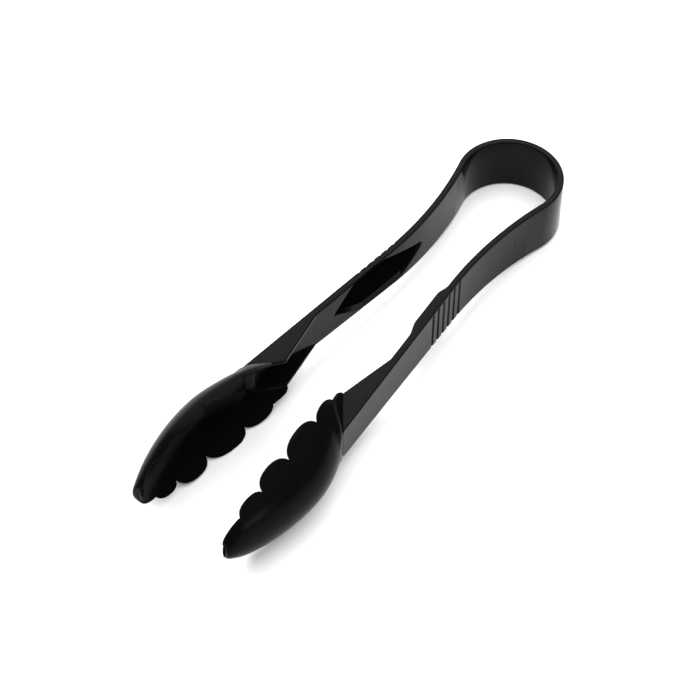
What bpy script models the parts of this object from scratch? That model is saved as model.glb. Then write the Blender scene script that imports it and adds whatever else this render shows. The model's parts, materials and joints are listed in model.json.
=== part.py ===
"""One-piece moulded serving tongs with a sprung bow and two scalloped scoop heads.

Frame: X across the tongs, Y along them (bow at +Y, scoop tips at -Y), Z up.
The tongs lie on their side, so the strip's width stands upright.  They rest on
the lower rims of both scoops and on the lower edge of the bow.
All dimensions below are in millimetres and degrees; the meshes are in metres.
"""
import math

import bmesh
import bpy
from mathutils import Vector

MM = 0.001

# ---- driving dimensions: the sprung strip -----------------------------------
BOW_RADIUS = 21.9          # outer radius of the round bow
BOW_CENTRE_Y = 92.5
BOW_WRAP = 15.0            # the bow carries on this far past the half circle
WAIST_RADIUS = 156.0       # long reverse curve from the bow into the arm
ARM_SPLAY = 5.6            # each open arm leans out by this angle
NECK_Y = -38.0             # where the arm ends and the scoop begins
BOW_HALF_WIDTH = 12.0
NECK_HALF_WIDTH = 8.3
WIDTH_TAPER = 0.0277       # half width lost per millimetre towards the neck
BOW_THICK = 2.7
WAIST_THICK = 2.6
NECK_THICK = 3.1
EDGE_ROUND = 0.5
GAP = 0.3                  # clearance between neighbouring pieces

# ---- driving dimensions: flexing stations of the bow ------------------------
JOINT_ANGLES = (35.0, 70.0, 105.0)   # measured round the bow from its crown

# ---- driving dimensions: grip grooves, stop pad, pad recess -----------------
GROOVE_COUNT = 6
GROOVE_PITCH = 4.02
GROOVE_CENTRE_Y = 24.8
GROOVE_WIDTH = 1.3
GROOVE_DEPTH = 0.6
GROOVE_SIDE = 0.2          # width of each groove's sloping side
PAD_LOW_APEX_Y = -1.5
PAD_HIGH_APEX_Y = 47.0
PAD_TOP_Y = (8.5, 26.5)
PAD_BOTTOM_Y = (13.0, 31.0)
PAD_HALF_SHARE = 0.88      # the pad's half width as a share of the arm's
PAD_APEX_HALF = 0.25       # half width of its blunt ends
PAD_TAPER = 0.92           # its face is this much narrower than its foot
PAD_STATIONS = 9
PAD_HEIGHT = 1.6
PAD_RUN = 3.5              # its ends slope over this length
PAD_FOOT = 1.0             # it is rooted this deep in the arm
RECESS_DEPTH = 0.5
RECESS_RUN = 2.6
RECESS_TOOL_HEIGHT = 1.5

# ---- driving dimensions: neck flanges ---------------------------------------
FLANGE_START_Y = -12.5
FLANGE_THICK = 1.7
FLANGE_DEPTH = 9.6
FLANGE_RUN_UP = 1.0        # hidden in the arm before the flange rises out of it
FLANGE_SINK = 0.3          # how far below the arm's inner face it starts
FLANGE_ROOT = 1.0          # depth of its root under the arm's outer face
FLANGE_INSET = 0.08        # keeps its long edge just inside the arm's
FLANGE_END_INSET = 0.06
COLLAR_LENGTH = 2.4
COLLAR_DEPTH = 11.6
COLLAR_RISE = (0.8, 0.6)   # length and height of the step up to the collar

# ---- driving dimensions: scoop heads ----------------------------------------
TIP_Y = -114.5
BELLY_Y = -75.6
BELLY_X = 32.0             # the back of the scoop stands this far out
TIP_BACK_X = 22.6
BELLY_POWER = 1.7          # how the back runs from the belly to the shoulder
SHOULDER_BACK_X = 24.6
SHOULDER_Y = -47.0
SHOULDER_LOSS = 0.5        # the shoulder is this much lower than the belly
SHOULDER_LENGTH = 20.0
NECK_POWER = 5.0           # squares the section up towards the neck
RIM_ANGLE = 70.0           # the section turns this far from back to rim
NECK_RIM_ANGLE = 18.0      # and this much further at the neck
RIM_X = 21.8               # deepest scallop valleys lie on this line
RIM_BEND_Y = -90.0
RIM_BEND = 0.0033
SCOOP_HALF_HEIGHT = 15.1
SCOOP_ROUND_START = -70.0
SCOOP_ROUND_LENGTH = 47.6
SCOOP_ROUND_POWER = 2.7
SCOOP_WALL = 2.3
RIM_WALL = 1.7
RIM_FLARE = 0.37
RIM_CLEARANCE = 0.3        # least depth left inside the scoop near its tip
LOBE_FLOOR = 0.02          # least height of a lobe, so every section has one
LOBE_POWER = 2.4
# each scallop: far end of the lobe along Y, and how far it stands inwards
SCALLOPS = (
    (-44.5, 0.7),
    (-58.1, 3.1),
    (-77.9, 5.4),
    (-94.3, 5.2),
    (-106.2, 3.1),
    (-114.5, 1.2),
)
SCALLOP_STEPS = (4, 6, 9, 8, 7, 5)

# ---- driving dimensions: resting attitude -----------------------------------
REST_TILT = 1.58           # bow end dips so that scoops and bow all touch down

# ---- how finely the faceted solids are divided --------------------------------
SEARCH_STEPS = 60
CORNER_STEPS = 2
CROWN_STEPS = 16
LIMB_STEPS = 8
ARM_STEPS = 34
SCOOP_STEPS = 14
SMOOTH_ANGLE = 28.0
MERGE_DISTANCE = 0.00001   # metres


def clear_scene():
    for item in list(bpy.data.objects):
        bpy.data.objects.remove(item, do_unlink=True)


def make_material(name, colour, roughness):
    material = bpy.data.materials.new(name)
    material.use_nodes = True
    shader = material.node_tree.nodes["Principled BSDF"]
    shader.inputs["Base Color"].default_value = (*colour, 1.0)
    shader.inputs["Roughness"].default_value = roughness
    return material


# ---- the strip's outer line, walked from the crown --------------------------
BOW_LENGTH = BOW_RADIUS * math.radians(90.0 + BOW_WRAP)
WAIST_CENTRE_X = (BOW_RADIUS + WAIST_RADIUS) * math.cos(math.radians(BOW_WRAP))
WAIST_CENTRE_Y = BOW_CENTRE_Y - (BOW_RADIUS + WAIST_RADIUS) * math.sin(math.radians(BOW_WRAP))
WAIST_LENGTH = WAIST_RADIUS * math.radians(BOW_WRAP + ARM_SPLAY)


def outer_line(s):
    """Point and outward normal on the right-hand outer face at length s."""
    if s <= BOW_LENGTH:
        turn = s / BOW_RADIUS
        return (
            BOW_RADIUS * math.sin(turn),
            BOW_CENTRE_Y + BOW_RADIUS * math.cos(turn),
            math.sin(turn),
            math.cos(turn),
        )
    if s <= BOW_LENGTH + WAIST_LENGTH:
        turn = math.radians(BOW_WRAP) - (s - BOW_LENGTH) / WAIST_RADIUS
        return (
            WAIST_CENTRE_X - WAIST_RADIUS * math.cos(turn),
            WAIST_CENTRE_Y + WAIST_RADIUS * math.sin(turn),
            math.cos(turn),
            -math.sin(turn),
        )
    splay = math.radians(ARM_SPLAY)
    run = s - BOW_LENGTH - WAIST_LENGTH
    x0 = WAIST_CENTRE_X - WAIST_RADIUS * math.cos(splay)
    y0 = WAIST_CENTRE_Y - WAIST_RADIUS * math.sin(splay)
    return (
        x0 + run * math.sin(splay),
        y0 - run * math.cos(splay),
        math.cos(splay),
        math.sin(splay),
    )


def length_at(y):
    """Length along the outer line where the arm passes the given y."""
    low = BOW_LENGTH
    high = BOW_LENGTH + WAIST_LENGTH + BOW_CENTRE_Y - TIP_Y
    for _ in range(SEARCH_STEPS):
        middle = 0.5 * (low + high)
        if outer_line(middle)[1] > y:
            low = middle
        else:
            high = middle
    return 0.5 * (low + high)


NECK_LENGTH = length_at(NECK_Y)


def half_width(y):
    return min(BOW_HALF_WIDTH, NECK_HALF_WIDTH + WIDTH_TAPER * (y - NECK_Y))


def thickness(s):
    waist = BOW_LENGTH + 0.5 * WAIST_LENGTH
    if s < waist:
        return BOW_THICK + (WAIST_THICK - BOW_THICK) * s / waist
    return WAIST_THICK + (NECK_THICK - WAIST_THICK) * (s - waist) / (NECK_LENGTH - waist)


def groove_depth(s):
    """How far the grip grooves sink into the outer face at length s."""
    middle = length_at(GROOVE_CENTRE_Y)
    first = middle - 0.5 * (GROOVE_COUNT - 1) * GROOVE_PITCH
    for index in range(GROOVE_COUNT):
        away = abs(s - first - index * GROOVE_PITCH)
        if away < 0.5 * GROOVE_WIDTH - GROOVE_SIDE:
            return GROOVE_DEPTH
    return 0.0


def groove_stations():
    middle = length_at(GROOVE_CENTRE_Y)
    first = middle - 0.5 * (GROOVE_COUNT - 1) * GROOVE_PITCH
    stations = []
    for index in range(GROOVE_COUNT):
        centre = first + index * GROOVE_PITCH
        for step in (-0.5 * GROOVE_WIDTH, -0.25 * GROOVE_WIDTH, 0.25 * GROOVE_WIDTH,
                     0.5 * GROOVE_WIDTH):
            stations.append(centre + step)
    return stations


def strip_section(s, grooved):
    """Rounded rectangle across the strip, as (depth below the outer face, z)."""
    x, y, nx, ny = outer_line(abs(s))
    side = -1.0 if s < 0.0 else 1.0
    thick = thickness(abs(s))
    half = half_width(y)
    sink = groove_depth(s) if grooved else 0.0
    points = []
    corners = (
        (sink + EDGE_ROUND, half - EDGE_ROUND, 180.0, 90.0),
        (thick - EDGE_ROUND, half - EDGE_ROUND, 90.0, 0.0),
        (thick - EDGE_ROUND, -half + EDGE_ROUND, 0.0, -90.0),
        (sink + EDGE_ROUND, -half + EDGE_ROUND, -90.0, -180.0),
    )
    for depth, z, start, stop in corners:
        for step in range(CORNER_STEPS + 1):
            angle = math.radians(start + (stop - start) * step / CORNER_STEPS)
            d = depth + EDGE_ROUND * math.cos(angle)
            points.append((side * (x - nx * d), y - ny * d, z + EDGE_ROUND * math.sin(angle)))
    return points


def loft(sections):
    """Closed body through equal-length loops, with capped ends."""
    body = bmesh.new()
    loops = []
    for section in sections:
        loops.append([body.verts.new([value * MM for value in point]) for point in section])
    count = len(loops[0])
    for near, far in zip(loops, loops[1:]):
        for index in range(count):
            after = (index + 1) % count
            quad = [near[index], near[after], far[after], far[index]]
            body.faces.new(quad)
    body.faces.new(list(reversed(loops[0])))
    body.faces.new(loops[-1])
    bmesh.ops.recalc_face_normals(body, faces=body.faces)
    return body


def rest_point(x, y, z):
    """Turn a drawing point (metres) into the resting attitude."""
    tilt = math.radians(REST_TILT)
    return Vector((x, y * math.cos(tilt) + z * math.sin(tilt), z * math.cos(tilt) - y * math.sin(tilt)))


def add_object(name, body, material, origin):
    """Make an object whose origin sits at a drawing point given in metres."""
    start = rest_point(*origin)
    for vertex in body.verts:
        vertex.co = rest_point(*vertex.co) - start
    mesh = bpy.data.meshes.new(name)
    body.to_mesh(mesh)
    body.free()
    mesh.materials.append(material)
    item = bpy.data.objects.new(name, mesh)
    item.location = start
    bpy.context.scene.collection.objects.link(item)
    return item


def prism(outline, low, high):
    """Upright prism over an (x, y) outline; low and high give z at each corner."""
    body = bmesh.new()
    bottom = [body.verts.new((x * MM, y * MM, z * MM)) for (x, y), z in zip(outline, low)]
    top = [body.verts.new((x * MM, y * MM, z * MM)) for (x, y), z in zip(outline, high)]
    count = len(outline)
    for index in range(count):
        after = (index + 1) % count
        body.faces.new([bottom[index], bottom[after], top[after], top[index]])
    body.faces.new(list(reversed(bottom)))
    body.faces.new(top)
    bmesh.ops.recalc_face_normals(body, faces=body.faces)
    return body


def combine(target, tool_body, operation):
    """Apply one boolean with a throw-away tool object."""
    mesh = bpy.data.meshes.new("tool")
    tool_body.to_mesh(mesh)
    tool_body.free()
    tool = bpy.data.objects.new("tool", mesh)
    bpy.context.scene.collection.objects.link(tool)
    modifier = target.modifiers.new("cut", "BOOLEAN")
    modifier.operation = operation
    modifier.solver = "EXACT"
    modifier.object = tool
    bpy.context.view_layer.update()
    graph = bpy.context.evaluated_depsgraph_get()
    result = bpy.data.meshes.new_from_object(target.evaluated_get(graph))
    target.modifiers.clear()
    old = target.data
    target.data = result
    bpy.data.meshes.remove(old)
    bpy.data.objects.remove(tool, do_unlink=True)
    bpy.data.meshes.remove(mesh)


def face_point(y, depth):
    """Right-hand point on the strip at a depth below the outer face, near y."""
    x, y0, nx, ny = outer_line(length_at(y))
    return (x - nx * depth, y0 - ny * depth)


def pad_edge(y, sign):
    """Upper or lower edge of the six-sided pad outline at y."""
    half = PAD_HALF_SHARE * half_width(GROOVE_CENTRE_Y)
    low, high = PAD_TOP_Y if sign > 0.0 else PAD_BOTTOM_Y
    rise = (y - PAD_LOW_APEX_Y) / (low - PAD_LOW_APEX_Y)
    fall = (PAD_HIGH_APEX_Y - y) / (PAD_HIGH_APEX_Y - high)
    share = max(0.0, min(1.0, rise, fall))
    return sign * (PAD_APEX_HALF + (half - PAD_APEX_HALF) * share)


def pad_body(foot_depth, face_depth, run):
    """Six-sided block from one depth under the outer face to another, its ends sloping."""
    middle = 0.5 * (PAD_LOW_APEX_Y + PAD_HIGH_APEX_Y)
    length = PAD_HIGH_APEX_Y - PAD_LOW_APEX_Y
    squeeze = 1.0 - 2.0 * run / length
    marks = [*PAD_TOP_Y, *PAD_BOTTOM_Y]
    marks += [PAD_LOW_APEX_Y + length * index / PAD_STATIONS for index in range(PAD_STATIONS + 1)]
    sections = []
    for y in sorted(marks):
        top = pad_edge(y, 1.0)
        bottom = pad_edge(y, -1.0)
        x1, y1 = face_point(y, foot_depth)
        x2, y2 = face_point(middle + (y - middle) * squeeze, face_depth)
        foot = [(x1, y1, top), (x1, y1, bottom)]
        face = [(x2, y2, bottom * PAD_TAPER), (x2, y2, top * PAD_TAPER)]
        sections.append(foot + face)
    return loft(sections)


def flange_body(sign):
    """Tapered flange that stiffens the neck at the top or bottom edge."""
    start = length_at(FLANGE_START_Y) - FLANGE_RUN_UP
    stop = NECK_LENGTH - 0.5 * GAP - FLANGE_END_INSET
    collar = stop - COLLAR_LENGTH
    stations = (
        (start, thickness(start) - FLANGE_SINK),
        (collar, FLANGE_DEPTH),
        (collar + COLLAR_RISE[0], COLLAR_DEPTH - COLLAR_RISE[1]),
        (stop, COLLAR_DEPTH),
    )
    outline = []
    for s, reach in stations:
        x, y, nx, ny = outer_line(s)
        outline.append((x - nx * reach, y - ny * reach))
    for s, _ in reversed(stations):
        x, y, nx, ny = outer_line(s)
        outline.append((x - nx * FLANGE_ROOT, y - ny * FLANGE_ROOT))
    near = [sign * (half_width(y) - FLANGE_INSET) for _, y in outline]
    far = [sign * (half_width(y) - FLANGE_THICK) for _, y in outline]
    return prism(outline, near, far)


def mirror_body(body):
    for vertex in body.verts:
        vertex.co.x = -vertex.co.x
    bmesh.ops.reverse_faces(body, faces=body.faces)
    return body


# ---- the scoop ---------------------------------------------------------------
def scoop_half_height(y):
    shoulder = SCOOP_HALF_HEIGHT - SHOULDER_LOSS
    if y > SHOULDER_Y:
        blend = max(0.0, (NECK_Y - y) / (NECK_Y - SHOULDER_Y))
        blend = blend * blend * (3.0 - 2.0 * blend)
        neck = half_width(NECK_Y)
        return neck + (shoulder - neck) * blend
    loss = SHOULDER_LOSS * max(0.0, 1.0 - (SHOULDER_Y - y) / SHOULDER_LENGTH)
    along = max(0.0, (SCOOP_ROUND_START - y) / SCOOP_ROUND_LENGTH)
    return (SCOOP_HALF_HEIGHT - loss) * math.sqrt(1.0 - along ** SCOOP_ROUND_POWER)


def scoop_back(y):
    if y < BELLY_Y:
        along = (BELLY_Y - y) / (BELLY_Y - TIP_Y)
        return BELLY_X - (BELLY_X - TIP_BACK_X) * along * along
    if y < SHOULDER_Y:
        along = (y - BELLY_Y) / (SHOULDER_Y - BELLY_Y)
        return BELLY_X - (BELLY_X - SHOULDER_BACK_X) * along ** BELLY_POWER
    along = (y - SHOULDER_Y) / (NECK_Y - SHOULDER_Y)
    neck = outer_line(NECK_LENGTH)[0]
    return SHOULDER_BACK_X + (neck - SHOULDER_BACK_X) * (1.0 - (1.0 - along) ** 2)


def scoop_rim(y):
    if y > SHOULDER_Y:
        along = (y - SHOULDER_Y) / (NECK_Y - SHOULDER_Y)
        shoulder = RIM_X - RIM_BEND * (SHOULDER_Y - RIM_BEND_Y) ** 2
        return shoulder + (outer_line(NECK_LENGTH)[0] - COLLAR_DEPTH - shoulder) * along
    rim = RIM_X - RIM_BEND * (y - RIM_BEND_Y) ** 2
    return min(rim, scoop_back(y) - SCOOP_WALL - RIM_CLEARANCE)


def scoop_outer_face(y, lobe, neck_share):
    """Outer half of a section, from the lower lobe over the back to the upper one."""
    power = 2.0 + NECK_POWER * neck_share * neck_share
    back = scoop_back(y)
    rim = scoop_rim(y)
    half = scoop_half_height(y)
    limit = math.radians(RIM_ANGLE + NECK_RIM_ANGLE * neck_share)
    reach = 1.0 - math.cos(limit) ** (2.0 / power)
    rise = math.sin(limit) ** (2.0 / power)
    lobe = max(lobe, LOBE_FLOOR)
    lobe_half = half + RIM_FLARE * (1.0 - neck_share) * lobe
    points = [(rim - lobe, -lobe_half)]
    for index in range(SCOOP_STEPS + 1):
        angle = limit * (2.0 * index / SCOOP_STEPS - 1.0)
        x = back - (back - rim) * (1.0 - abs(math.cos(angle)) ** (2.0 / power)) / reach
        z = half * math.copysign(abs(math.sin(angle)) ** (2.0 / power), angle) / rise
        points.append((x, z))
    points.append((rim - lobe, lobe_half))
    return points


def scoop_section(y, lobe):
    """C-shaped section: outer face from bottom rim to top rim, then back inside."""
    neck_share = max(0.0, min(1.0, (y - SHOULDER_Y) / (NECK_Y - SHOULDER_Y)))
    outer = scoop_outer_face(y, lobe, neck_share)
    inner = []
    last = len(outer) - 1
    for index, (x, z) in enumerate(outer):
        before = outer[max(0, index - 1)]
        after = outer[min(last, index + 1)]
        dx = after[0] - before[0]
        dz = after[1] - before[1]
        size = math.hypot(dx, dz)
        share = abs(2.0 * index / last - 1.0)
        wall = SCOOP_WALL + (RIM_WALL - SCOOP_WALL) * share * share
        inner.append((x - dz / size * wall, z + dx / size * wall))
    # the first sections lean with the arm so that the neck faces stay parallel
    lean = math.tan(math.radians(ARM_SPLAY)) * neck_share
    back = scoop_back(y)
    return [(x, y - (back - x) * lean, z) for x, z in outer + list(reversed(inner))]


def scoop_body():
    sections = []
    start = NECK_Y - 0.5 * GAP
    for (stop, lobe), steps in zip(SCALLOPS, SCALLOP_STEPS):
        for index in range(steps):
            place = math.cos(math.pi * index / steps)
            y = 0.5 * (start + stop) + 0.5 * (start - stop) * place
            bulge = lobe * math.sqrt(max(0.0, 1.0 - abs(place) ** LOBE_POWER))
            sections.append(scoop_section(y, bulge))
        start = stop
    sections.append(scoop_section(TIP_Y, 0.0))
    return loft(sections)


def strip_between(start, stop, steps, grooved=False):
    stations = [start + (stop - start) * index / steps for index in range(steps + 1)]
    if grooved:
        marks = groove_stations()
        low = marks[0] - 1.0
        high = marks[-1] + 1.0
        stations = [s for s in stations if s < low or s > high] + marks
        stations.sort()
    return loft([strip_section(s, grooved) for s in stations])


def middle_point(s):
    x, y, nx, ny = outer_line(s)
    depth = 0.5 * thickness(s)
    return (x - nx * depth, y - ny * depth)


def smooth(item, angle):
    for polygon in item.data.polygons:
        polygon.use_smooth = True
    item.data.set_sharp_from_angle(angle=math.radians(angle))


def blank_object(body):
    """Throw-away object for the booleans that shape an arm."""
    mesh = bpy.data.meshes.new("arm_blank")
    body.to_mesh(mesh)
    body.free()
    blank = bpy.data.objects.new("arm_blank", mesh)
    bpy.context.scene.collection.objects.link(blank)
    return blank


def arm_body(start, side):
    """Grooved strip with neck flanges, and a raised pad or the recess that faces it."""
    strip = strip_between(start, NECK_LENGTH - 0.5 * GAP, ARM_STEPS, grooved=True)
    blank = blank_object(strip)
    combine(blank, flange_body(1.0), "UNION")
    combine(blank, flange_body(-1.0), "UNION")
    inner = thickness(length_at(GROOVE_CENTRE_Y))
    if side > 0.0:
        combine(blank, pad_body(inner - PAD_FOOT, inner + PAD_HEIGHT, PAD_RUN), "UNION")
    else:
        tool = pad_body(inner + RECESS_TOOL_HEIGHT, inner - RECESS_DEPTH, RECESS_RUN)
        combine(blank, tool, "DIFFERENCE")
    body = bmesh.new()
    body.from_mesh(blank.data)
    bmesh.ops.remove_doubles(body, verts=body.verts, dist=MERGE_DISTANCE)
    bpy.data.objects.remove(blank, do_unlink=True)
    return body


def side_objects(label, side, joints, materials):
    """Two bow limbs, the arm and the scoop of one side."""
    clear = 0.5 * GAP
    pieces = (
        ("bow_upper_", "limb", joints[0], strip_between(joints[0] + clear, joints[1] - clear, LIMB_STEPS)),
        ("bow_lower_", "limb", joints[1], strip_between(joints[1] + clear, joints[2] - clear, LIMB_STEPS)),
        ("arm_", "arm", joints[2], arm_body(joints[2] + clear, side)),
        ("scoop_", "head", joints[2], scoop_body()),
    )
    items = []
    for name, finish, joint, body in pieces:
        if side < 0.0:
            mirror_body(body)
        x, y = middle_point(joint)
        origin = (side * x * MM, y * MM, 0.0)
        items.append(add_object(name + label, body, materials[finish], origin))
    return items


def set_down(items):
    """Centres the tongs along Y and stands them on the ground plane."""
    points = [vertex.co + item.location for item in items for vertex in item.data.vertices]
    along = [point.y for point in points]
    lowest = min(point.z for point in points)
    shift = Vector((0.0, -0.5 * (min(along) + max(along)), -lowest))
    for item in items:
        item.location = item.location + shift


def build():
    clear_scene()
    materials = {
        "bow": make_material("moulded_black_bow", (0.012, 0.012, 0.013), 0.22),
        "limb": make_material("moulded_black_limb", (0.014, 0.014, 0.015), 0.22),
        "arm": make_material("moulded_black_arm", (0.013, 0.013, 0.014), 0.24),
        "head": make_material("moulded_black_head", (0.011, 0.011, 0.012), 0.2),
    }
    joints = [BOW_RADIUS * math.radians(angle) for angle in JOINT_ANGLES]
    reach = joints[0] - 0.5 * GAP
    crown = strip_between(-reach, reach, CROWN_STEPS)
    items = [add_object("bow_crown", crown, materials["bow"], (0.0, middle_point(0.0)[1] * MM, 0.0))]
    for side, label in ((1.0, "right"), (-1.0, "left")):
        items += side_objects(label, side, joints, materials)
    set_down(items)
    for item in items:
        smooth(item, SMOOTH_ANGLE)


build()
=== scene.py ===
"""Looks of the one-piece moulded scallop tongs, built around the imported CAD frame.

The strip, arms and scoops are drawn in millimetres in the tongs' own plane:
x across, y along them (bow at +y, tips at -y), z across the strip's width.
One turn and one shift, both read from the frame, lay them down as the CAD does.
"""
import json
import math

import bmesh
import bpy
import numpy as np
from mathutils import Matrix, Vector


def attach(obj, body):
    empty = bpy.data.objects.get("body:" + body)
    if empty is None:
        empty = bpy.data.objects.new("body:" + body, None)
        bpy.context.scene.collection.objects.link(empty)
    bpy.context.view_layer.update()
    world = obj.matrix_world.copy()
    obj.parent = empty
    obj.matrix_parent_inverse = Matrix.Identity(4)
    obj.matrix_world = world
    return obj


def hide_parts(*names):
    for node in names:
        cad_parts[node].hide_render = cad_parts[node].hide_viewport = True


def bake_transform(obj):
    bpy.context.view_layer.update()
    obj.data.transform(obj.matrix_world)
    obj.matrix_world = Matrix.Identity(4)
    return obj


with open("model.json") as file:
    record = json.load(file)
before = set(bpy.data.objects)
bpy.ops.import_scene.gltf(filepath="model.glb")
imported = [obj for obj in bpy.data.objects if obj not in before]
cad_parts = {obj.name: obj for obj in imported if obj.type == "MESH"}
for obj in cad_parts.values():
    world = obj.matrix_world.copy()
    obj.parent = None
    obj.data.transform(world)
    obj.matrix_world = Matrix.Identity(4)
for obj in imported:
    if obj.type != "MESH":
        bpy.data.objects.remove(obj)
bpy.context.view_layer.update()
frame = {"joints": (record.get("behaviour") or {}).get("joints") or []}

MM = 0.001
HALVINGS = 50              # of the search for a place along the strip
SEARCH_LENGTH = 200.0      # the search runs this far past the waist
SIDES = (("right", 1.0), ("left", -1.0))

# ---- the sprung strip (mm, degrees) --------------------------------------------
BOW_RADIUS = 21.9
BOW_CENTRE_Y = 92.5
BOW_WRAP = 15.0            # the bow runs this far past a half turn on each side
WAIST_RADIUS = 156.0
ARM_SPLAY = 5.6
BOW_HALF_WIDTH = 12.0
NECK_HALF_WIDTH = 8.3
NECK_REFERENCE_Y = -38.0
WIDTH_TAPER = 0.0277
BOW_THICK = 2.7
WAIST_THICK = 2.6
NECK_THICK = 3.1
EDGE_ROUND = 0.45
CORNER_STEPS = 5
JOINT_ANGLES = (35.0, 70.0, 105.0)
SEAM_ANGLES = (17.5, 52.5, 87.5)      # the bow's pieces meet here
ARM_START = 9.0            # the arm piece begins this far past the last joint
ARM_OVERRUN = 3.0          # it is drawn this far past the neck before it is cut
SEAM_STEP = 0.04           # distance of the station next to a seam
CROWN_STATIONS = 25
LIMB_STATIONS = 31
SHARP_ANGLE = 50.0

# ---- grip grooves, pad, recess, mould line -------------------------------------
GROOVE_COUNT = 6
GROOVE_PITCH = 4.02
GROOVE_CENTRE_Y = 24.8
GROOVE_WIDTH = 1.7
GROOVE_DEPTH = 0.7
GROOVE_FLANK = 0.45        # share of a groove's half width that its side takes
GROOVE_EDGE = 0.7          # the grooves grow shallow this near the long edges
GROOVE_EDGE_SHARE = 0.4
FACET_APEX_Y = (-2.4, 50.6)
FACET_TOP_Y = (9.0, 26.5)
FACET_BOTTOM_Y = (15.0, 38.0)
FACET_TOP_Z = 9.2
FACET_BOTTOM_Z = 7.3
FACET_MARGIN = 3.0         # past this distance the arm's points follow the flanges
RECESS_DEPTH = 1.1
RECESS_APEX = 1.2          # the recess grows shallow where it reaches less than this
RECESS_WALL = 0.3          # steep sides of the recess
RECESS_BEVEL = 1.3         # its lower bow-side edge
RECESS_FADE = 2.6          # its lower long edge
PAD_HEIGHT = 1.6
PAD_MIDDLE_Y = 20.0        # the strip's width here scales the pad's outline
PAD_EDGE_Y = (1.0, 29.0)   # where the raised pad starts at the arm's long edges
PAD_RAMPS = (7.5, 4.5)     # slopes at the neck end and at the bow end
MOULD_LINE_Y = 70.3
MOULD_LINE_SIZE = 0.06
MOULD_LINE_REACH = 0.28    # half its width

# ---- stations and points of an arm ---------------------------------------------
ARM_STEP = 0.9
PAD_STEP = 0.4
GROOVE_STEP = 0.16
FLANGE_STEP = 0.5
LINE_STEP = 0.08
LINE_MARGIN = 0.4          # fine stations run this far past the mould line
DETAIL_MARGIN = 1.0        # and this far past the pad and the flanges
CLOSEST_STATIONS = 0.05    # nearer ones are dropped
EDGE_MARKS = 8             # points from a long edge to the recess, ends included
EDGE_CLEARANCE = 0.05
WALL_MARKS = 7
FACET_MARKS = 37
FACET_FIRST = 2 * (CORNER_STEPS + 1) + EDGE_MARKS - 2 + WALL_MARKS - 1    # ring place of its first point
FLANGE_MARKS = 4
RAMP_MARKS = 8
WEB_MARKS = 43

# ---- neck ----------------------------------------------------------------------
FLANGE_START_Y = -12.5
FLANGE_END_Y = -35.3
FLANGE_THICK = 1.6
FLANGE_DEPTH = 9.6
FLANGE_RAMP = 0.25         # half the width over which a flange rises from the web
FLANGE_OVERRUN = 1.25      # it goes on deepening to this share of its length
NECK_GAP = 0.25            # the arm ends this far before the scoop
NECK_LIP = 0.25            # the scoop's neck end stands this proud of the arm
NECK_ROUND = 0.7
NECK_SHRINK = 0.075
NECK_STEPS = 6
CUT_TOLERANCE = 0.000001

# ---- scoops --------------------------------------------------------------------
TIP_Y = -116.2
BELLY_Y = -75.6
BELLY_X = 32.0
TIP_BACK_X = 22.8
BACK_POWER = 1.9           # shape of the back from the belly to the neck
RIM_START = (12.3, -36.9)
BACK_START = (24.75, -51.4)
RIM_X = 21.8
RIM_BEND_Y = -90.0
RIM_BEND = 0.0033
RIM_SHOULDER_Y = -46.6
RIM_CORNER = 2.4           # radius of the rim's first corner
RIM_FLARE = 0.37
RIM_WALL = 1.3
RIM_EDGE = 0.5             # the lobes thin out to this
LOBE_SHARES = (0.34, 0.67, 1.0)       # rows of points from the rim to a lobe's edge
LOBE_POWER = 2.4
BEAD_DEPTH = 0.45          # share of the edge's thickness that its round stands out
BEAD_STEPS = 6
SHOULDER_LENGTH = 18.0     # the scoop grows to its full height over this length
SCOOP_HALF_HEIGHT = 15.1
SCOOP_ROUND_START = -70.0
SCOOP_ROUND_LENGTH = 48.0
SCOOP_ROUND_POWER = 2.7
SCOOP_WALL = 2.2
NECK_THINNING = 1.2        # the back wall is this much thinner at the neck
SMALLEST_CAVITY = 0.25
NECK_REACH = 16.0          # the section turns from boxy to round over this length
ROUND_POWER = 2.0
BOX_POWER = 6.0            # added at the neck
ROUND_SPAN = 70.0          # degrees of the section's arc on each side
BOX_SPAN = 18.0            # added at the neck
ARC_STEPS = 44
LEAN_END_Y = -75.0
TIP_FILL_Y = -109.5        # from here to the tip the inside fills up
FILL_LEFT = 0.1            # depth of the cavity that is left at the tip
NOSE_Y = -107.0            # from here to the tip the end grows convex
NOSE_BULGE = 1.1
NOSE_ROUND = 1.4
NOSE_SHRINK = (0.35, 0.1)  # how much the end draws in across and in height
NOSE_STEPS = 8
SCALLOPS = ((-44.5, 0.3), (-58.1, 2.7), (-77.9, 5.1), (-94.3, 4.9), (-106.2, 2.8), (-114.8, 0.3))
SCALLOP_STEPS = (14, 22, 34, 30, 24, 18)
SCOOP_SHARP_ANGLE = 42.0

# ---- materials, stage, light, camera (metres, degrees) -------------------------
GLOSS_TINT = (0.96, 0.96, 1.0)        # faint cool cast of the black
STRIP_BLACK = (0.0018, 0.0018, 0.002)
# painted shade: a darker black for the recess floor, which also has no gloss, so that the hollow reads
# as shaded
RECESS_PAINTED_SHADE = (0.0011, 0.0011, 0.0012)
HEAD_BLACK = (0.0014, 0.0014, 0.0013)
PLASTIC_IOR = 1.5
FLOW_GAIN = 1.5            # how much lighter the flow shade gets
FLOW_LIFT = 0.001
FLOW_NOISE = (38.0, 3.0, 0.55)        # scale, detail, roughness
HAZE_NOISE = (95.0, 5.0, 0.6)
RIPPLE_NOISE = (70.0, 2.0, 0.4)
HAIR_NOISE = (1.0, 2.0, 0.5)
HAIR_STRETCH = (900.0, 40.0, 700.0)
HAIR_TURN = (0.0, 0.0, 0.12)
HAIR_SHARE = 0.04          # height of the hairlines against the ripple
HAZE_RANGE = (0.35, 0.75)
HAZE_ROUGHNESS = 0.09      # most that the haze adds
BUMP_STRENGTH = 0.35
BUMP_DISTANCE = 0.0004
FLOOR_REACH = 8.0          # half the floor's side
FLOOR_DROP = 0.0002
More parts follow.
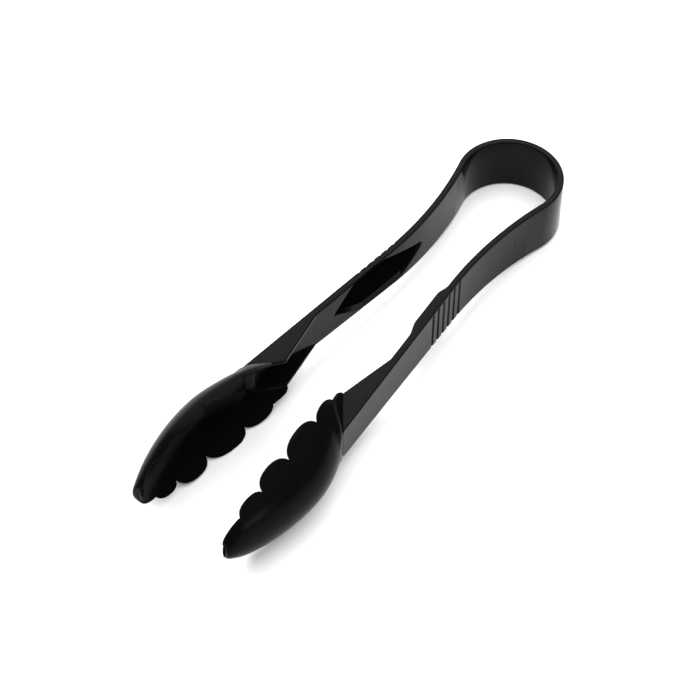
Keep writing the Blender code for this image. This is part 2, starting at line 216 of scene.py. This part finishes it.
PAPER_WHITE = (0.9, 0.9, 0.9, 1.0)
PAPER_ROUGHNESS = 0.9
WORLD_STRENGTH = 0.03
WATTS_FOR_RADIANCE = 4.0   # per square metre of a flat lamp and unit of radiance
LAMPS = (
    # name, place, size, radiance, whether gloss shows it
    ("overhead_fill", (0.0, 0.0, 1.6), (3.0, 3.0), 2.6, False),
    ("back_left_box", (-0.62, 0.8, 1.25), (0.9, 0.9), 1.7, True),
    ("back_low_box", (-0.5, 1.25, 0.4), (1.0, 0.6), 0.6, True),
    ("left_low_box", (-1.05, 0.7, 0.42), (0.9, 0.5), 0.75, True),
    ("front_right_strip", (1.12, -0.19, 0.43), (0.4, 0.4), 4.0, True),
)
CAMERA_AZIMUTH = 37.66
CAMERA_ELEVATION = 51.09
CAMERA_ROLL = -0.48
CAMERA_DISTANCE = 0.8577
CAMERA_AIM = (-0.00167, -0.01239, 0.015)
CAMERA_LENS = 114.3
SENSOR_WIDTH = 36.0
CLIP_END = 50.0


# ---- the strip's line, width and thickness --------------------------------------
BOW_LENGTH = BOW_RADIUS * math.radians(90.0 + BOW_WRAP)
WAIST_CENTRE_X = (BOW_RADIUS + WAIST_RADIUS) * math.cos(math.radians(BOW_WRAP))
WAIST_CENTRE_Y = BOW_CENTRE_Y - (BOW_RADIUS + WAIST_RADIUS) * math.sin(math.radians(BOW_WRAP))
WAIST_LENGTH = WAIST_RADIUS * math.radians(BOW_WRAP + ARM_SPLAY)


def outer_line(s):
    """Point and outward normal on the right-hand outer face at length s from the crown."""
    if s <= BOW_LENGTH:
        turn = s / BOW_RADIUS
        return (BOW_RADIUS * math.sin(turn), BOW_CENTRE_Y + BOW_RADIUS * math.cos(turn),
                math.sin(turn), math.cos(turn))
    if s <= BOW_LENGTH + WAIST_LENGTH:
        turn = math.radians(BOW_WRAP) - (s - BOW_LENGTH) / WAIST_RADIUS
        return (WAIST_CENTRE_X - WAIST_RADIUS * math.cos(turn),
                WAIST_CENTRE_Y + WAIST_RADIUS * math.sin(turn), math.cos(turn), -math.sin(turn))
    splay = math.radians(ARM_SPLAY)
    run = s - BOW_LENGTH - WAIST_LENGTH
    x = WAIST_CENTRE_X - WAIST_RADIUS * math.cos(splay) + run * math.sin(splay)
    y = WAIST_CENTRE_Y - WAIST_RADIUS * math.sin(splay) - run * math.cos(splay)
    return x, y, math.cos(splay), math.sin(splay)


def length_at(y):
    """Length along the outer line where the arm passes the given y, found by halving."""
    low = BOW_LENGTH
    high = BOW_LENGTH + WAIST_LENGTH + SEARCH_LENGTH
    for _ in range(HALVINGS):
        middle = 0.5 * (low + high)
        if outer_line(middle)[1] > y:
            low = middle
        else:
            high = middle
    return 0.5 * (low + high)


NECK_LENGTH = length_at(NECK_REFERENCE_Y)
GROOVE_MIDDLE = length_at(GROOVE_CENTRE_Y)
MOULD_LINE_S = length_at(MOULD_LINE_Y)


def half_width(y):
    """Half the strip's width at y: even over the bow, tapering down the arms."""
    return min(BOW_HALF_WIDTH, NECK_HALF_WIDTH + WIDTH_TAPER * (y - NECK_REFERENCE_Y))


def thickness(s):
    """Thickness of the strip at length s."""
    waist = BOW_LENGTH + 0.5 * WAIST_LENGTH
    if s < waist:
        return BOW_THICK + (WAIST_THICK - BOW_THICK) * s / waist
    return WAIST_THICK + (NECK_THICK - WAIST_THICK) * (s - waist) / (NECK_LENGTH - waist)


def middle_point(s):
    """Point halfway through the strip's thickness at length s."""
    x, y, nx, ny = outer_line(s)
    depth = 0.5 * thickness(s)
    return x - nx * depth, y - ny * depth


# ---- laying the drawing down as the frame lies ----------------------------------
def read_rest_transform():
    """Turn and shift that carry drawing points (mm) to the row frame (m)."""
    joint = next(j for j in frame["joints"] if j["name"] == "squeeze_left")
    axis = Vector(joint["axis"]).normalized()
    turn = Vector((0.0, 0.0, 1.0)).rotation_difference(axis).to_matrix()
    x, y = middle_point(BOW_RADIUS * math.radians(JOINT_ANGLES[2]))
    drawn = turn @ Vector((-x * MM, y * MM, 0.0))
    return np.array(turn), np.array(Vector(joint["pos_m"]) - drawn)


REST_TURN, REST_SHIFT = read_rest_transform()


def lay_down(points):
    """Row-frame metres from an array of drawing millimetres."""
    return np.asarray(points, float) * MM @ REST_TURN.T + REST_SHIFT


# ---- mesh helpers ---------------------------------------------------------------
def ring_mesh(name, rings, side):
    """Closed mesh through equal rings of drawing points, capped at both ends."""
    rings = np.array(rings, float)
    rings[..., 0] *= side
    count, width = rings.shape[:2]
    vertices = lay_down(rings.reshape(-1, 3))
    faces = []
    for row in range(count - 1):
        for column in range(width):
            after = (column + 1) % width
            quad = [row * width + column, row * width + after,
                    (row + 1) * width + after, (row + 1) * width + column]
            faces.append(quad)
    faces.append(list(range(width))[::-1])
    faces.append([(count - 1) * width + column for column in range(width)])
    mesh = bpy.data.meshes.new(name)
    mesh.from_pydata([tuple(v) for v in vertices], [], faces)
    item = bpy.data.objects.new(name, mesh)
    bpy.context.scene.collection.objects.link(item)
    return item


def finish_mesh(item, material, angle):
    """Outward normals, smooth shading with sharp edges kept, and the material."""
    body = bmesh.new()
    body.from_mesh(item.data)
    bmesh.ops.recalc_face_normals(body, faces=body.faces)
    body.to_mesh(item.data)
    body.free()
    for polygon in item.data.polygons:
        polygon.use_smooth = True
    item.data.set_sharp_from_angle(angle=math.radians(angle))
    item.data.materials.append(material)


def smooth_step(value):
    """0 to 1 with level ends."""
    value = min(1.0, max(0.0, value))
    return value * value * (3.0 - 2.0 * value)


def between(start, stop, count):
    """Evenly spaced values from start to stop, without the two ends."""
    return list(np.linspace(start, stop, count)[1:-1])


def with_close_ends(stations):
    """Adds a station very near each end, so that shading runs on across a seam."""
    first = stations[0]
    last = stations[-1]
    return sorted(set(list(stations) + [first + SEAM_STEP, last - SEAM_STEP]))


# ---- sections across the strip --------------------------------------------------
def groove_sink(s):
    """Depth of the grip grooves and the fine mould line under the outer face."""
    first = GROOVE_MIDDLE - 0.5 * (GROOVE_COUNT - 1) * GROOVE_PITCH
    index = round((s - first) / GROOVE_PITCH)
    sink = 0.0
    if 0 <= index < GROOVE_COUNT:
        away = abs(s - first - index * GROOVE_PITCH) / (0.5 * GROOVE_WIDTH)
        sink = GROOVE_DEPTH * smooth_step((1.0 - away) / GROOVE_FLANK)
    line = abs(s - MOULD_LINE_S) / MOULD_LINE_REACH
    return sink + MOULD_LINE_SIZE * smooth_step(1.0 - line)


def facet_limit(y, sign):
    """Reach in z of the recess outline above (+1) or below (-1) the middle at y."""
    low, high = FACET_TOP_Y if sign > 0.0 else FACET_BOTTOM_Y
    rise = (y - FACET_APEX_Y[0]) / (low - FACET_APEX_Y[0])
    fall = (FACET_APEX_Y[1] - y) / (FACET_APEX_Y[1] - high)
    reach = FACET_TOP_Z if sign > 0.0 else FACET_BOTTOM_Z
    return reach * max(0.0, min(1.0, rise, fall))


def facet_wall(y, sign):
    """Width in z of the recess's side wall at y."""
    if sign > 0.0:
        return RECESS_WALL
    if y > FACET_BOTTOM_Y[1]:
        return RECESS_BEVEL
    share = (y - FACET_APEX_Y[0]) / (FACET_BOTTOM_Y[0] - FACET_APEX_Y[0])
    return RECESS_WALL + (RECESS_FADE - RECESS_WALL) * smooth_step(share)


def recess_depth(y, z):
    """Depth of the dark recess in the left arm's inner face."""
    if not FACET_APEX_Y[0] < y < FACET_APEX_Y[1]:
        return 0.0
    sign = 1.0 if z > 0.0 else -1.0
    outside = abs(z) - facet_limit(y, sign)
    deep = RECESS_DEPTH * min(1.0, facet_limit(y, sign) / RECESS_APEX)
    return deep * min(1.0, max(0.0, 1.0 - outside / facet_wall(y, sign)))


def pad_rise(y, z):
    """Height of the raised pad on the right arm's inner face."""
    share = min(1.0, abs(z) / half_width(PAD_MIDDLE_Y))
    first = FACET_APEX_Y[0] + (PAD_EDGE_Y[0] - FACET_APEX_Y[0]) * share
    last = FACET_APEX_Y[1] + (PAD_EDGE_Y[1] - FACET_APEX_Y[1]) * share
    ramp = min((y - first) / PAD_RAMPS[0], (last - y) / PAD_RAMPS[1])
    return PAD_HEIGHT * smooth_step(ramp)


def inner_depth(s, y, z, side, detail):
    """Depth of the inner face below the outer one."""
    web = thickness(s)
    if not detail:
        return web
    depth = web
    if side > 0.0:
        depth += pad_rise(y, z)
    else:
        depth -= recess_depth(y, z)
    if y < FLANGE_START_Y:
        share = (FLANGE_START_Y - y) / (FLANGE_START_Y - FLANGE_END_Y)
        reach = (FLANGE_DEPTH - web) * min(FLANGE_OVERRUN, share)
        foot = half_width(y) - FLANGE_THICK - FLANGE_RAMP
        depth += reach * smooth_step((abs(z) - foot) / (2.0 * FLANGE_RAMP))
    return depth


def face_marks(y, edge):
    """Heights of the points across an arm's inner face, gathered where it steps."""
    if y < FACET_APEX_Y[0] - FACET_MARGIN:
        step = half_width(y) - FLANGE_THICK
        high = step + FLANGE_RAMP
        low = step - FLANGE_RAMP
        marks = between(edge, high, FLANGE_MARKS)
        marks += list(np.linspace(high, low, RAMP_MARKS))
        marks += between(low, -low, WEB_MARKS)
        marks += list(np.linspace(-low, -high, RAMP_MARKS))
        return marks + between(-high, -edge, FLANGE_MARKS)
    top = facet_limit(y, 1.0)
    low = -facet_limit(y, -1.0)
    above = min(top + facet_wall(y, 1.0), edge - EDGE_CLEARANCE)
    below = max(low - facet_wall(y, -1.0), -edge + EDGE_CLEARANCE)
    marks = between(edge, above, EDGE_MARKS)
    marks += list(np.linspace(above, top, WALL_MARKS))
    marks += between(top, low, FACET_MARKS)
    marks += list(np.linspace(low, below, WALL_MARKS))
    return marks + between(below, -edge, EDGE_MARKS)


def round_corner(depth, z, start):
    """Quarter round of the strip's edge about (depth, z), from the start angle down."""
    points = []
    for step in range(CORNER_STEPS + 1):
        angle = math.radians(start - 90.0 * step / CORNER_STEPS)
        points.append((depth + EDGE_ROUND * math.cos(angle), z + EDGE_ROUND * math.sin(angle)))
    return points


def strip_ring(s, side, detail=False):
    """One rounded section across the strip, as drawing points for the right side."""
    x, y, nx, ny = outer_line(abs(s))
    sign = -1.0 if s < 0.0 else 1.0
    half = half_width(y)
    edge = half - EDGE_ROUND
    sink = groove_sink(s) if detail else 0.0
    outer = GROOVE_EDGE_SHARE * sink + EDGE_ROUND
    inner_top = inner_depth(abs(s), y, half, side, detail)
    inner_low = inner_depth(abs(s), y, -half, side, detail)
    section = round_corner(outer, edge, 180.0) + round_corner(inner_top - EDGE_ROUND, edge, 90.0)
    if detail:
        section += [(inner_depth(abs(s), y, z, side, True), z) for z in face_marks(y, edge)]
    section += round_corner(inner_low - EDGE_ROUND, -edge, 0.0) + round_corner(outer, -edge, -90.0)
    if detail:
        section += [(sink, -edge + GROOVE_EDGE), (sink, edge - GROOVE_EDGE)]
    return [(sign * (x - nx * d), y - ny * d, z) for d, z in section]


def arm_stations(start, stop):
    """Stations along an arm, close together where there is detail."""
    first = GROOVE_MIDDLE - 0.5 * GROOVE_COUNT * GROOVE_PITCH
    last = GROOVE_MIDDLE + 0.5 * GROOVE_COUNT * GROOVE_PITCH
    pad_first = length_at(FACET_APEX_Y[1] + DETAIL_MARGIN)
    pad_last = length_at(FACET_APEX_Y[0] - DETAIL_MARGIN)
    line_stop = MOULD_LINE_S + LINE_MARGIN + 0.5 * LINE_STEP
    marks = [stop, *np.arange(start, stop, ARM_STEP)]
    marks += list(np.arange(pad_first, pad_last, PAD_STEP))
    marks += list(np.arange(MOULD_LINE_S - LINE_MARGIN, line_stop, LINE_STEP))
    marks += list(np.arange(length_at(FLANGE_START_Y + DETAIL_MARGIN), stop, FLANGE_STEP))
    marks = [s for s in marks if not first < s < last]
    marks += list(np.arange(first, last, GROOVE_STEP))
    spaced = []
    for s in sorted(round(float(s), 3) for s in marks if start <= s <= stop):
        if not spaced or s - spaced[-1] > CLOSEST_STATIONS:
            spaced.append(s)
    spaced[-1] = stop
    return spaced


# ---- sections of a scoop --------------------------------------------------------
def scoop_back_x(y):
    """How far out the back lies at y: a belly that narrows to the neck and the tip."""
    if y < BELLY_Y:
        along = (BELLY_Y - y) / (BELLY_Y - TIP_Y)
        return BELLY_X - (BELLY_X - TIP_BACK_X) * along * along
    along = (y - BELLY_Y) / (BACK_START[1] - BELLY_Y)
    return BELLY_X - (BELLY_X - BACK_START[0]) * along ** BACK_POWER


def scoop_rim_x(y):
    """Rim line from the neck, over a rounded first corner, along a shallow bow to the tip."""
    if y <= RIM_SHOULDER_Y:
        return RIM_X - RIM_BEND * (y - RIM_BEND_Y) ** 2
    here = RIM_X - RIM_BEND * (RIM_SHOULDER_Y - RIM_BEND_Y) ** 2
    along = (y - RIM_SHOULDER_Y) / (RIM_START[1] - RIM_SHOULDER_Y)
    short = max(0.0, RIM_CORNER - (RIM_START[1] - y))
    corner = RIM_CORNER - math.sqrt(RIM_CORNER ** 2 - short ** 2)
    return here + (RIM_START[0] - here) * along + corner


def scoop_half_height(y):
    """Half the height between the two rims at y, without the lobes' flare."""
    along = max(0.0, (SCOOP_ROUND_START - y) / SCOOP_ROUND_LENGTH)
    full = SCOOP_HALF_HEIGHT * math.sqrt(1.0 - along ** SCOOP_ROUND_POWER)
    if y < RIM_START[1] - SHOULDER_LENGTH:
        return full
    start = half_width(RIM_START[1]) + NECK_LIP
    rise = (RIM_START[1] - y) / SHOULDER_LENGTH
    return start + (full - start) * math.sin(0.5 * math.pi * min(1.0, rise))


def scallop(y):
    """How far the scalloped lobe stands past the rim line at y."""
    start = RIM_START[1]
    for stop, reach in SCALLOPS:
        if y >= stop:
            place = 2.0 * (start - y) / (start - stop) - 1.0
            return reach * math.sqrt(max(0.0, 1.0 - abs(place) ** LOBE_POWER))
        start = stop
    return 0.0


def section_arc(back, rim, half, neck):
    """Upper half of the C, from its middle to the rim: boxy at the neck (1), round past it (0)."""
    power = ROUND_POWER + BOX_POWER * neck * neck
    limit = math.radians(ROUND_SPAN + BOX_SPAN * neck)
    span = 1.0 - math.cos(limit) ** (2.0 / power)
    rise = math.sin(limit) ** (2.0 / power)
    points = []
    for step in range(ARC_STEPS // 2, ARC_STEPS + 1):
        angle = limit * math.sin(0.5 * math.pi * (2.0 * step / ARC_STEPS - 1.0))
        fall = 1.0 - max(0.0, math.cos(angle)) ** (2.0 / power)
        x = back - (back - rim) * fall / span
        z = half * math.sin(angle) ** (2.0 / power) / rise
        points.append((x, z))
    return points


def rim_edge(rim, high, reach, flare):
    """Outer side, rounded edge and inner side of the lobe on the upper rim."""
    edge = RIM_WALL + (RIM_EDGE - RIM_WALL) * min(1.0, reach)
    outside = []
    inside = []
    for share in LOBE_SHARES:
        lobe = share * reach
        wall = RIM_WALL + (edge - RIM_WALL) * share
        outside.append((rim - lobe, high + flare * lobe))
        inside.append((rim - lobe, high - wall + flare * lobe))
    middle = (rim - reach, high - 0.5 * edge + flare * reach)
    bead = []
    for step in range(1, BEAD_STEPS):
        angle = math.radians(90.0 + 180.0 * step / BEAD_STEPS)
        bead.append((middle[0] + BEAD_DEPTH * edge * math.cos(angle),
                     middle[1] + 0.5 * edge * math.sin(angle)))
    return outside + bead + inside[::-1]


def scoop_ring(y_rim, squeeze=(1.0, 1.0), y_shift=0.0):
    """C-shaped section whose rim is at y_rim; sections near the neck lean with the cut."""
    share = max(0.0, 1.0 - (RIM_START[1] - y_rim) / (RIM_START[1] - LEAN_END_Y))
    y_back = y_rim - (RIM_START[1] - BACK_START[1]) * share * share
    neck = max(0.0, 1.0 - (RIM_START[1] - y_rim) / NECK_REACH)
    back = scoop_back_x(y_back)
    rim = min(scoop_rim_x(y_rim), back - SCOOP_WALL - SMALLEST_CAVITY)
    high = scoop_half_height(y_rim)
    fill = smooth_step((TIP_FILL_Y - y_rim) / (TIP_FILL_Y - TIP_Y))
    inner_back = back - SCOOP_WALL + NECK_THINNING * neck
    inner_back += (rim + FILL_LEFT - inner_back) * fill
    top = section_arc(back, rim, high, neck)
    top += rim_edge(rim, high, scallop(y_rim), RIM_FLARE * (1.0 - neck))
    top += section_arc(inner_back, rim, high - RIM_WALL, neck)[::-1]
    low = [(x, -z) for x, z in reversed(top)]
    lean = (y_rim - y_back) / (back - rim)
    nose = NOSE_BULGE * smooth_step((NOSE_Y - y_rim) / (NOSE_Y - TIP_Y))
    centre_x = 0.5 * (back + rim)
    ring = []
    for x, z in top + low[1:-1]:
        y = y_back + lean * (back - max(x, rim)) + y_shift + nose * (z / high) ** 2
        ring.append((centre_x + (x - centre_x) * squeeze[0], y, z * squeeze[1]))
    return ring


def scoop_stations():
    """Rim places along a scoop, gathered where two lobes meet."""
    marks = []
    start = RIM_START[1]
    for (stop, _), steps in zip(SCALLOPS, SCALLOP_STEPS):
        for step in range(steps):
            place = math.cos(math.pi * step / steps)
            marks.append(0.5 * (start + stop) + 0.5 * (start - stop) * place)
        start = stop
    return [y for y in marks if TIP_Y + NOSE_ROUND < y < RIM_START[1] - NECK_ROUND]


# ---- pieces ---------------------------------------------------------------------
def build_bow(materials):
    """The crown, attached to the bow, and the three limb pieces on each side of it, baked in place."""
    seams = [BOW_RADIUS * math.radians(a) for a in SEAM_ANGLES]
    joints = [BOW_RADIUS * math.radians(a) for a in JOINT_ANGLES]
    stations = with_close_ends(np.linspace(-seams[0], seams[0], CROWN_STATIONS))
    crown = ring_mesh("bow_crown_shell", [strip_ring(s, 1.0) for s in stations], 1.0)
    finish_mesh(crown, materials["bow"], SHARP_ANGLE)
    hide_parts("bow_crown")
    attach(crown, "bow")
    for label, side in SIDES:
        spans = (
            ("bow_shoulder_" + label, seams[0], seams[1], joints[0], "bow_upper_" + label),
            ("bow_side_" + label, seams[1], seams[2], joints[1], "bow_lower_" + label),
            ("bow_root_" + label, seams[2], joints[2] + ARM_START, joints[2], "bow_lower_" + label),
        )
        for index, (name, start, stop, joint, node_name) in enumerate(spans):
            stations = with_close_ends(np.linspace(start, stop, LIMB_STATIONS))
            piece = ring_mesh(name, [strip_ring(s, side) for s in stations], side)
            finish_mesh(piece, materials["bow"], SHARP_ANGLE)
            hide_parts(node_name)
            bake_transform(piece)


def cut_neck(item, side):
    """Trims an arm just before the upright plane where the scoop begins, and closes it."""
    inner = lay_down([(side * RIM_START[0], RIM_START[1], 0.0)])[0]
    outer = lay_down([(side * BACK_START[0], BACK_START[1], 0.0)])[0]
    up = REST_TURN @ np.array([0.0, 0.0, 1.0])
    normal = Vector(np.cross(outer - inner, up)).normalized()
    if normal.y > 0.0:
        normal = -normal
    point = Vector(inner) - normal * NECK_GAP * MM
    body = bmesh.new()
    body.from_mesh(item.data)
    geometry = list(body.verts) + list(body.edges) + list(body.faces)
    bmesh.ops.bisect_plane(body, geom=geometry, plane_co=point, plane_no=normal,
                           clear_outer=True, dist=CUT_TOLERANCE)
    edges = [e for e in body.edges if e.is_boundary]
    bmesh.ops.contextual_create(body, geom=edges)
    body.to_mesh(item.data)
    body.free()


def paint_facet_shade(arm, stations):
    """Gives the faces on the floor of the recess the second material, a darker black without gloss:
    painted shade.
    """
    width = len(strip_ring(stations[0], -1.0, True))
    for row in range(len(stations) - 1):
        ends = [outer_line(s)[1] for s in stations[row:row + 2]]
        if min(ends) < FACET_APEX_Y[0] or max(ends) > FACET_APEX_Y[1]:
            continue
        for column in range(FACET_FIRST, FACET_FIRST + FACET_MARKS - 1):
            arm.data.polygons[row * width + column].material_index = 1


def build_arm(label, side, materials):
    """An arm from the bow's last piece to the neck."""
    start = BOW_RADIUS * math.radians(JOINT_ANGLES[2]) + ARM_START
    stations = with_close_ends(arm_stations(start, length_at(BACK_START[1] - ARM_OVERRUN)))
    arm = ring_mesh("arm_shell_" + label, [strip_ring(s, side, True) for s in stations], side)
    if side < 0.0:
        paint_facet_shade(arm, stations)
    cut_neck(arm, side)
    finish_mesh(arm, materials["arm"], SHARP_ANGLE)
    # the second material is the recess floor's painted shade
    arm.data.materials.append(materials["facet"])
    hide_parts("arm_" + label)
    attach(arm, "arm_" + label)


def build_scoop(label, side, materials):
    """A scoop with a rounded neck end and a rounded tip."""
    rings = []
    for step in range(NECK_STEPS):
        angle = math.radians(90.0 * step / NECK_STEPS)
        shrink = [1.0 - NECK_SHRINK * (1.0 - math.sin(angle))] * 2
        rings.append(scoop_ring(RIM_START[1] - NECK_ROUND, shrink, NECK_ROUND * math.cos(angle)))
    rings += [scoop_ring(y) for y in scoop_stations()]
    for step in range(1, NOSE_STEPS + 1):
        angle = math.radians(90.0 * step / NOSE_STEPS)
        shrink = [1.0 - share * (1.0 - math.cos(angle)) for share in NOSE_SHRINK]
        rings.append(scoop_ring(TIP_Y + NOSE_ROUND * (1.0 - math.sin(angle)), shrink))
    scoop = ring_mesh("scoop_shell_" + label, rings, side)
    finish_mesh(scoop, materials["head"], SCOOP_SHARP_ANGLE)
    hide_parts("scoop_" + label)
    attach(scoop, "arm_" + label)


# ---- materials ------------------------------------------------------------------
def add_noise(tree, vector, settings):
    """Noise over the given vector; settings are its scale, detail and roughness."""
    noise = tree.nodes.new("ShaderNodeTexNoise")
    for name, value in zip(("Scale", "Detail", "Roughness"), settings):
        noise.inputs[name].default_value = value
    tree.links.new(vector, noise.inputs["Vector"])
    return noise.outputs["Fac"]


def moulded_plastic(name, colour, roughness, gloss):
    """Glossy moulded black plastic: faint flow shade, fine ripple, handling haze, hairlines."""
    material = bpy.data.materials.new(name)
    material.use_nodes = True
    tree = material.node_tree
    shader = tree.nodes["Principled BSDF"]
    shader.inputs["IOR"].default_value = PLASTIC_IOR
    shader.inputs["Specular IOR Level"].default_value = gloss
    shader.inputs["Specular Tint"].default_value = (*GLOSS_TINT, 1.0)
    place = tree.nodes.new("ShaderNodeTexCoord").outputs["Object"]

    shade = tree.nodes.new("ShaderNodeMix")
    shade.data_type = "RGBA"
    shade.inputs["A"].default_value = (*colour, 1.0)
    shade.inputs["B"].default_value = (*[c * FLOW_GAIN + FLOW_LIFT for c in colour], 1.0)
    tree.links.new(add_noise(tree, place, FLOW_NOISE), shade.inputs["Factor"])
    tree.links.new(shade.outputs["Result"], shader.inputs["Base Color"])

    haze = tree.nodes.new("ShaderNodeMapRange")
    haze.inputs["From Min"].default_value = HAZE_RANGE[0]
    haze.inputs["From Max"].default_value = HAZE_RANGE[1]
    haze.inputs["To Min"].default_value = roughness
    haze.inputs["To Max"].default_value = roughness + HAZE_ROUGHNESS
    tree.links.new(add_noise(tree, place, HAZE_NOISE), haze.inputs["Value"])
    tree.links.new(haze.outputs["Result"], shader.inputs["Roughness"])

    stretch = tree.nodes.new("ShaderNodeMapping")
    stretch.inputs["Scale"].default_value = HAIR_STRETCH
    stretch.inputs["Rotation"].default_value = HAIR_TURN
    tree.links.new(place, stretch.inputs["Vector"])
    relief = tree.nodes.new("ShaderNodeMath")
    relief.operation = "MULTIPLY_ADD"
    relief.inputs[1].default_value = HAIR_SHARE
    tree.links.new(add_noise(tree, stretch.outputs["Vector"], HAIR_NOISE), relief.inputs[0])
    tree.links.new(add_noise(tree, place, RIPPLE_NOISE), relief.inputs[2])
    bump = tree.nodes.new("ShaderNodeBump")
    bump.inputs["Strength"].default_value = BUMP_STRENGTH
    bump.inputs["Distance"].default_value = BUMP_DISTANCE
    tree.links.new(relief.outputs["Value"], bump.inputs["Height"])
    tree.links.new(bump.outputs["Normal"], shader.inputs["Normal"])
    return material


def make_materials():
    """One plastic, with the gloss that each part of the tongs shows; the recess floor gets a darker
    black without gloss as painted shade.
    """
    return {
        "bow": moulded_plastic("bow_plastic", STRIP_BLACK, roughness=0.14, gloss=0.085),
        "arm": moulded_plastic("arm_plastic", STRIP_BLACK, roughness=0.14, gloss=0.08),
        # painted shade: the recess floor is darker than the rest and shows no reflections
        "facet": moulded_plastic("facet_painted_shade", RECESS_PAINTED_SHADE, roughness=0.3, gloss=0.0),
        "head": moulded_plastic("scoop_plastic", HEAD_BLACK, roughness=0.22, gloss=0.032),
    }


# ---- stage, light, camera -------------------------------------------------------
def add_stage():
    """A wide sheet of white paper just under the tongs."""
    mesh = bpy.data.meshes.new("floor")
    corners = [(x * FLOOR_REACH, y * FLOOR_REACH, 0.0) for x, y in ((-1, -1), (1, -1), (1, 1), (-1, 1))]
    mesh.from_pydata(corners, [], [(0, 1, 2, 3)])
    floor = bpy.data.objects.new("floor", mesh)
    floor.location.z = -FLOOR_DROP
    bpy.context.scene.collection.objects.link(floor)
    paper = bpy.data.materials.new("white_paper")
    paper.use_nodes = True
    shader = paper.node_tree.nodes["Principled BSDF"]
    shader.inputs["Base Color"].default_value = PAPER_WHITE
    shader.inputs["Roughness"].default_value = PAPER_ROUGHNESS
    shader.inputs["Specular IOR Level"].default_value = 0.0
    mesh.materials.append(paper)


def add_lamp(name, place, size, radiance, in_gloss):
    """A rectangular soft light aimed at the tongs."""
    light = bpy.data.lights.new(name, "AREA")
    light.shape = "RECTANGLE"
    light.size, light.size_y = size
    light.energy = WATTS_FOR_RADIANCE * radiance * size[0] * size[1]
    item = bpy.data.objects.new(name, light)
    item.location = place
    item.rotation_euler = (-Vector(place)).to_track_quat("-Z", "Y").to_euler()
    item.visible_glossy = in_gloss
    bpy.context.scene.collection.objects.link(item)


def add_light():
    """A nearly black room and its lamps."""
    world = bpy.data.worlds.new("studio")
    bpy.context.scene.world = world
    world.use_nodes = True
    background = world.node_tree.nodes["Background"]
    background.inputs["Color"].default_value = (1.0, 1.0, 1.0, 1.0)
    background.inputs["Strength"].default_value = WORLD_STRENGTH
    for lamp in LAMPS:
        add_lamp(*lamp)


def add_camera():
    """The camera, aimed from its azimuth (0 looks along +y) and elevation."""
    azimuth = math.radians(CAMERA_AZIMUTH)
    elevation = math.radians(CAMERA_ELEVATION)
    away = Vector((math.sin(azimuth) * math.cos(elevation), -math.cos(azimuth) * math.cos(elevation),
                   math.sin(elevation)))
    camera = bpy.data.cameras.new("camera")
    camera.lens = CAMERA_LENS
    camera.sensor_width = SENSOR_WIDTH
    camera.clip_end = CLIP_END
    item = bpy.data.objects.new("camera", camera)
    roll = Matrix.Rotation(math.radians(CAMERA_ROLL), 3, "Z")
    turn = (-away).to_track_quat("-Z", "Y").to_matrix() @ roll
    item.matrix_world = Matrix.Translation(Vector(CAMERA_AIM) + away * CAMERA_DISTANCE) @ turn.to_4x4()
    bpy.context.scene.collection.objects.link(item)
    bpy.context.scene.camera = item


def build():
    """The whole scene."""
    add_camera()
    materials = make_materials()
    build_bow(materials)
    for label, side in SIDES:
        build_arm(label, side, materials)
        build_scoop(label, side, materials)
    add_stage()
    add_light()
    bpy.context.scene.view_settings.view_transform = "Standard"


build()
